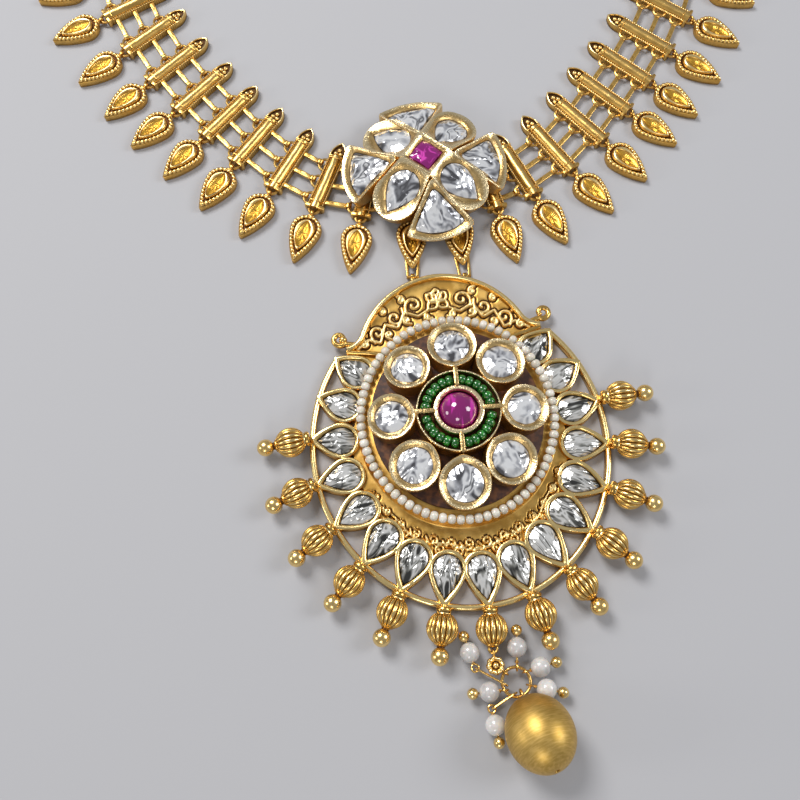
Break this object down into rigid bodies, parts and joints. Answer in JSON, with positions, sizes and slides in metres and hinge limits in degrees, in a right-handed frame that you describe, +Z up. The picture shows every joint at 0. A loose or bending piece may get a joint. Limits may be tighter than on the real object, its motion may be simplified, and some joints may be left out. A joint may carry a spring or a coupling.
{
  "type": "kundan necklace",
  "caption": "Collar necklace of linked gold bars with leaf drops, a stone cluster and a round pendant with a kundan flower, seed pearls, melon beads and a pearl tassel.",
  "frame": {"origin": "middle of the pendant's ring, on the surface that the necklace lies on", "axes": "+X to the wearer's left as seen from the front, +Y from the pendant to the clasp, +Z up from the surface"},
  "size_m": [0.1835, 0.2739, 0.0126],
  "materials": {
    "antique_gold": "antiqued matt gold plate, dark in the recesses",
    "matte_gold": "brushed matt gold plate",
    "clear_stone": "foiled clear stone",
    "pink_stone": "polished magenta stone",
    "green_bead": "glossy green glass",
    "seed_pearl": "cream pearl",
    "grey_pearl": "grey-white pearl"
  },
  "bodies": {
    "root": {"bar_links_left": "antique_gold", "bar_links_right": "antique_gold", "leaf_drops_left": "antique_gold", "leaf_drops_right": "antique_gold", "back_chain_left": "antique_gold", "back_chain_right": "antique_gold", "clasp_hook": "antique_gold", "cluster_setting": "antique_gold", "pendant_bails": "antique_gold", "pendant_frame": "antique_gold", "flower_setting": "antique_gold", "melon_drops": "antique_gold", "tassel_rings": "antique_gold", "tassel_flower": "antique_gold", "tassel_headpins": "antique_gold", "matte_ball": "matte_gold", "cabochon": "pink_stone", "square_stone": "pink_stone", "green_bead_string": "green_bead", "pearl_string": "seed_pearl", "tassel_pearls": "grey_pearl", "fan_stone_right": "clear_stone", "fan_stone_upper": "clear_stone", "fan_stone_left": "clear_stone", "fan_stone_lower": "clear_stone", "pear_stone_upper_right": "clear_stone", "pear_stone_upper_left": "clear_stone", "pear_stone_lower_left": "clear_stone", "pear_stone_lower_right": "clear_stone", "frame_stone_01": "clear_stone", "frame_stone_02": "clear_stone", "frame_stone_03": "clear_stone", "frame_stone_04": "clear_stone", "frame_stone_05": "clear_stone", "frame_stone_06": "clear_stone", "frame_stone_07": "clear_stone", "frame_stone_08": "clear_stone", "frame_stone_09": "clear_stone", "frame_stone_10": "clear_stone", "frame_stone_11": "clear_stone", "frame_stone_12": "clear_stone", "frame_stone_13": "clear_stone", "frame_stone_14": "clear_stone", "frame_stone_15": "clear_stone", "frame_stone_16": "clear_stone", "frame_stone_17": "clear_stone", "petal_stone_1": "clear_stone", "petal_stone_2": "clear_stone", "petal_stone_3": "clear_stone", "petal_stone_4": "clear_stone", "petal_stone_5": "clear_stone", "petal_stone_6": "clear_stone", "petal_stone_7": "clear_stone", "petal_stone_8": "clear_stone"}
  },
  "joints": []
}
